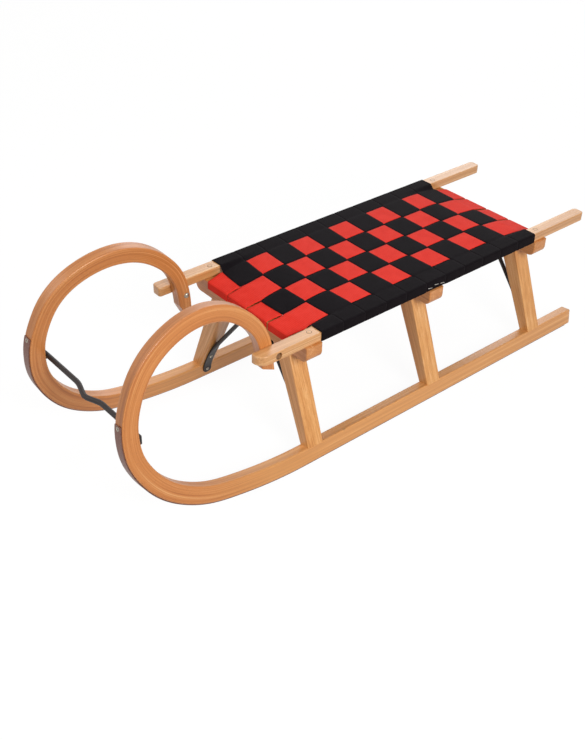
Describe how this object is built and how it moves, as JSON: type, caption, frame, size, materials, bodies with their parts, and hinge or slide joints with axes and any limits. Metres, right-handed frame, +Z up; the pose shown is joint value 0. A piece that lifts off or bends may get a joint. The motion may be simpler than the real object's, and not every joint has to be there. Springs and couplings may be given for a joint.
{
  "type": "horn sled",
  "caption": "Wooden horn sled with bent beech runners that loop up into horns, splayed legs on crossbeams and a woven webbing seat.",
  "frame": {"origin": "On the ground under the middle of the sled's box.", "axes": "+X is forwards, towards the horns; +Y is the sled's left; +Z is up. The sled stands on its runners."},
  "size_m": [1.0906, 0.349, 0.3732],
  "materials": {
    "beech": "steam-bent beech under clear satin lacquer",
    "shoe_steel": "hot-rolled steel strip, dark and worn on its sole",
    "black_steel": "steel rod under black lacquer",
    "bolt_steel": "zinc-plated steel",
    "black_webbing": "woven polypropylene webbing",
    "red_webbing": "woven polypropylene webbing"
  },
  "bodies": {
    "root": {"runner_left": "beech", "runner_right": "beech", "runner_shoe_left": "shoe_steel", "runner_shoe_right": "shoe_steel", "seat_rail_left": "beech", "seat_rail_right": "beech", "horn_bolt_left": "bolt_steel", "horn_bolt_right": "bolt_steel", "crossbeam_front": "beech", "crossbeam_middle": "beech", "crossbeam_rear": "beech", "leg_front_left": "beech", "leg_front_right": "beech", "leg_middle_left": "beech", "leg_middle_right": "beech", "leg_rear_left": "beech", "leg_rear_right": "beech", "brace_front_left": "black_steel", "brace_front_right": "black_steel", "brace_rear_left": "black_steel", "brace_rear_right": "black_steel", "pull_rod": "black_steel", "cross_strap_01": "black_webbing", "cross_strap_02": "black_webbing", "cross_strap_03": "black_webbing", "cross_strap_04": "black_webbing", "cross_strap_05": "black_webbing", "cross_strap_06": "black_webbing", "cross_strap_07": "black_webbing", "cross_strap_08": "black_webbing", "cross_strap_09": "black_webbing", "cross_strap_10": "black_webbing", "cross_strap_11": "black_webbing", "long_strap_1": "red_webbing", "long_strap_2": "red_webbing", "long_strap_3": "red_webbing", "long_strap_4": "red_webbing"}
  },
  "joints": []
}
